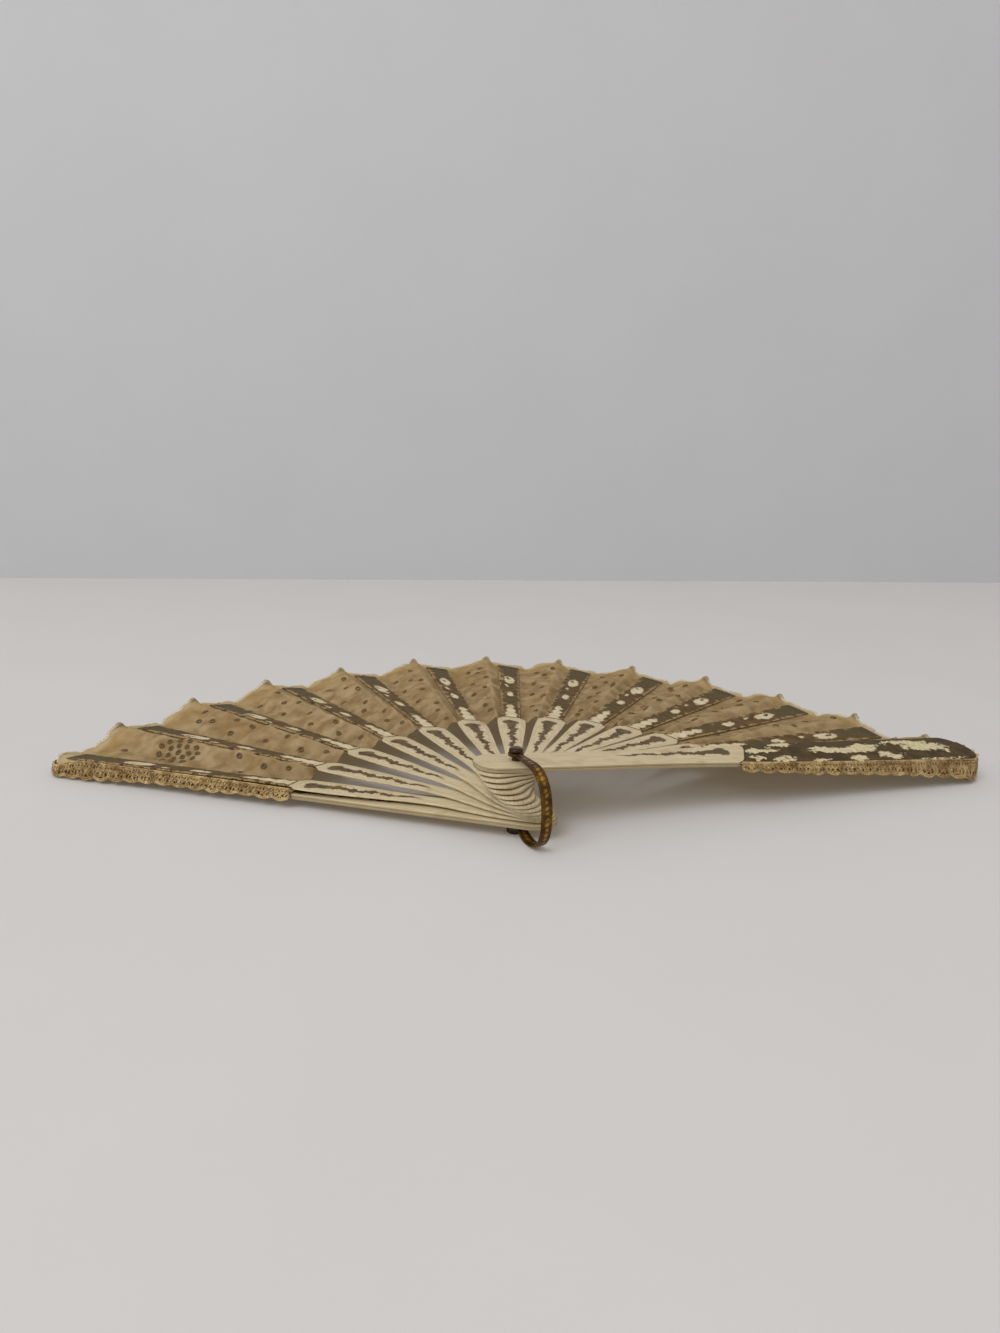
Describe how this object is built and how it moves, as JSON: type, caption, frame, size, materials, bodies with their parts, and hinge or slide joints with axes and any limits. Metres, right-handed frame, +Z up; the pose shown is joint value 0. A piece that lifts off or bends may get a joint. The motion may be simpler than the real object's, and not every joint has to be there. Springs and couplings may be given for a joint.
{
  "type": "folding hand fan",
  "caption": "Folding hand fan lying open: ivory sticks and guards on a rivet with a brass loop, a pleated eyelet-lace leaf glued under the ribs, gold lace bands on the guards.",
  "frame": {"origin": "on the table, in the middle of the flat underside of the rivet's foot", "axes": "+Z up along the rivet, +Y along the middle of the open fan, +X to the right guard's side"},
  "size_m": [0.4145, 0.2333, 0.0343],
  "materials": {
    "ivory": "cream lacquered wood with worn bronze ornament",
    "cloth": "tan cotton with embroidered eyelets",
    "gold_lace": "gold thread lace",
    "brass": "worn embossed brass",
    "dark_brass": "tarnished brass"
  },
  "bodies": {
    "left_guard": {"left_guard": "ivory", "left_guard_lace": "gold_lace", "rivet_pin": "dark_brass", "rivet_cap": "dark_brass"},
    "stick_01": {"stick_01": "ivory", "leaf_panel_01": "cloth"},
    "stick_02": {"stick_02": "ivory", "leaf_panel_02": "cloth"},
    "stick_03": {"stick_03": "ivory", "leaf_panel_03": "cloth"},
    "stick_04": {"stick_04": "ivory", "leaf_panel_04": "cloth"},
    "stick_05": {"stick_05": "ivory", "leaf_panel_05": "cloth"},
    "stick_06": {"stick_06": "ivory", "leaf_panel_06": "cloth"},
    "stick_07": {"stick_07": "ivory", "leaf_panel_07": "cloth"},
    "stick_08": {"stick_08": "ivory", "leaf_panel_08": "cloth"},
    "stick_09": {"stick_09": "ivory", "leaf_panel_09": "cloth"},
    "stick_10": {"stick_10": "ivory", "leaf_panel_10": "cloth"},
    "stick_11": {"stick_11": "ivory", "leaf_panel_11": "cloth"},
    "stick_12": {"stick_12": "ivory", "leaf_panel_12": "cloth"},
    "right_guard": {"right_guard": "ivory", "right_guard_lace": "gold_lace", "leaf_panel_13": "cloth"},
    "loop": {"loop": "brass"}
  },
  "joints": [
    {"name": "fold_01", "type": "hinge", "parent": "left_guard", "child": "stick_01", "pos_m": [0, 0, 0.00805], "axis": [0, 0, -1], "range_deg": [0, 1.2], "deforming": ["leaf_panel_01"]},
    {"name": "fold_02", "type": "hinge", "parent": "stick_01", "child": "stick_02", "pos_m": [0, 0, 0.00965], "axis": [0, 0, 1], "range_deg": [0, 12], "deforming": ["leaf_panel_02"]},
    {"name": "fold_03", "type": "hinge", "parent": "stick_02", "child": "stick_03", "pos_m": [0, 0, 0.01125], "axis": [0, 0, 1], "range_deg": [0, 12], "deforming": ["leaf_panel_03"]},
    {"name": "fold_04", "type": "hinge", "parent": "stick_03", "child": "stick_04", "pos_m": [0, 0, 0.01285], "axis": [0, 0, 1], "range_deg": [0, 12], "deforming": ["leaf_panel_04"]},
    {"name": "fold_05", "type": "hinge", "parent": "stick_04", "child": "stick_05", "pos_m": [0, 0, 0.01445], "axis": [0, 0, 1], "range_deg": [0, 12], "deforming": ["leaf_panel_05"]},
    {"name": "fold_06", "type": "hinge", "parent": "stick_05", "child": "stick_06", "pos_m": [0, 0, 0.01605], "axis": [0, 0, 1], "range_deg": [0, 12], "deforming": ["leaf_panel_06"]},
    {"name": "fold_07", "type": "hinge", "parent": "stick_06", "child": "stick_07", "pos_m": [0, 0, 0.01765], "axis": [0.0365, 0.004, 0.9993], "range_deg": [0, 12.01], "deforming": ["leaf_panel_07"]},
    {"name": "fold_08", "type": "hinge", "parent": "stick_07", "child": "stick_08", "pos_m": [-0.00006, 0.00001, 0.01925], "axis": [0.0729, -0.0073, 0.9973], "range_deg": [0, 12.03], "deforming": ["leaf_panel_08"]},
    {"name": "fold_09", "type": "hinge", "parent": "stick_08", "child": "stick_09", "pos_m": [-0.00017, 0.00005, 0.02086], "axis": [0.0698, -0.0223, 0.9973], "range_deg": [0, 12.03], "deforming": ["leaf_panel_09"]},
    {"name": "fold_10", "type": "hinge", "parent": "stick_09", "child": "stick_10", "pos_m": [-0.00025, 0.00014, 0.02247], "axis": [0.0637, -0.0363, 0.9973], "range_deg": [0, 12.03], "deforming": ["leaf_panel_10"]},
    {"name": "fold_11", "type": "hinge", "parent": "stick_10", "child": "stick_11", "pos_m": [-0.0003, 0.00027, 0.02408], "axis": [0.0547, -0.0487, 0.9973], "range_deg": [0, 12.03], "deforming": ["leaf_panel_11"]},
    {"name": "fold_12", "type": "hinge", "parent": "stick_11", "child": "stick_12", "pos_m": [-0.00031, 0.00042, 0.02569], "axis": [0.0434, -0.0591, 0.9973], "range_deg": [0, 12.03], "deforming": ["leaf_panel_12"]},
    {"name": "fold_13", "type": "hinge", "parent": "stick_12", "child": "right_guard", "pos_m": [-0.00035, 0.00077, 0.02775], "axis": [-0.01, 0.0221, 0.9997], "range_deg": [0, 12], "deforming": ["leaf_panel_13"]},
    {"name": "loop_swing", "type": "hinge", "parent": "left_guard", "child": "loop", "pos_m": [0, 0, 0], "axis": [0, 0, 1], "range_deg": [-95, 50]}
  ],
  "couplings": [
    {"joint": "fold_01", "follows": "fold_02", "ratio": 0.1},
    {"joint": "fold_03", "follows": "fold_02", "ratio": 1},
    {"joint": "fold_04", "follows": "fold_02", "ratio": 1},
    {"joint": "fold_05", "follows": "fold_02", "ratio": 1},
    {"joint": "fold_06", "follows": "fold_02", "ratio": 1},
    {"joint": "fold_07", "follows": "fold_02", "ratio": 1.0007},
    {"joint": "fold_08", "follows": "fold_02", "ratio": 1.0027},
    {"joint": "fold_09", "follows": "fold_02", "ratio": 1.0027},
    {"joint": "fold_10", "follows": "fold_02", "ratio": 1.0027},
    {"joint": "fold_11", "follows": "fold_02", "ratio": 1.0027},
    {"joint": "fold_12", "follows": "fold_02", "ratio": 1.0027},
    {"joint": "fold_13", "follows": "fold_02", "ratio": 1.0003}
  ]
}
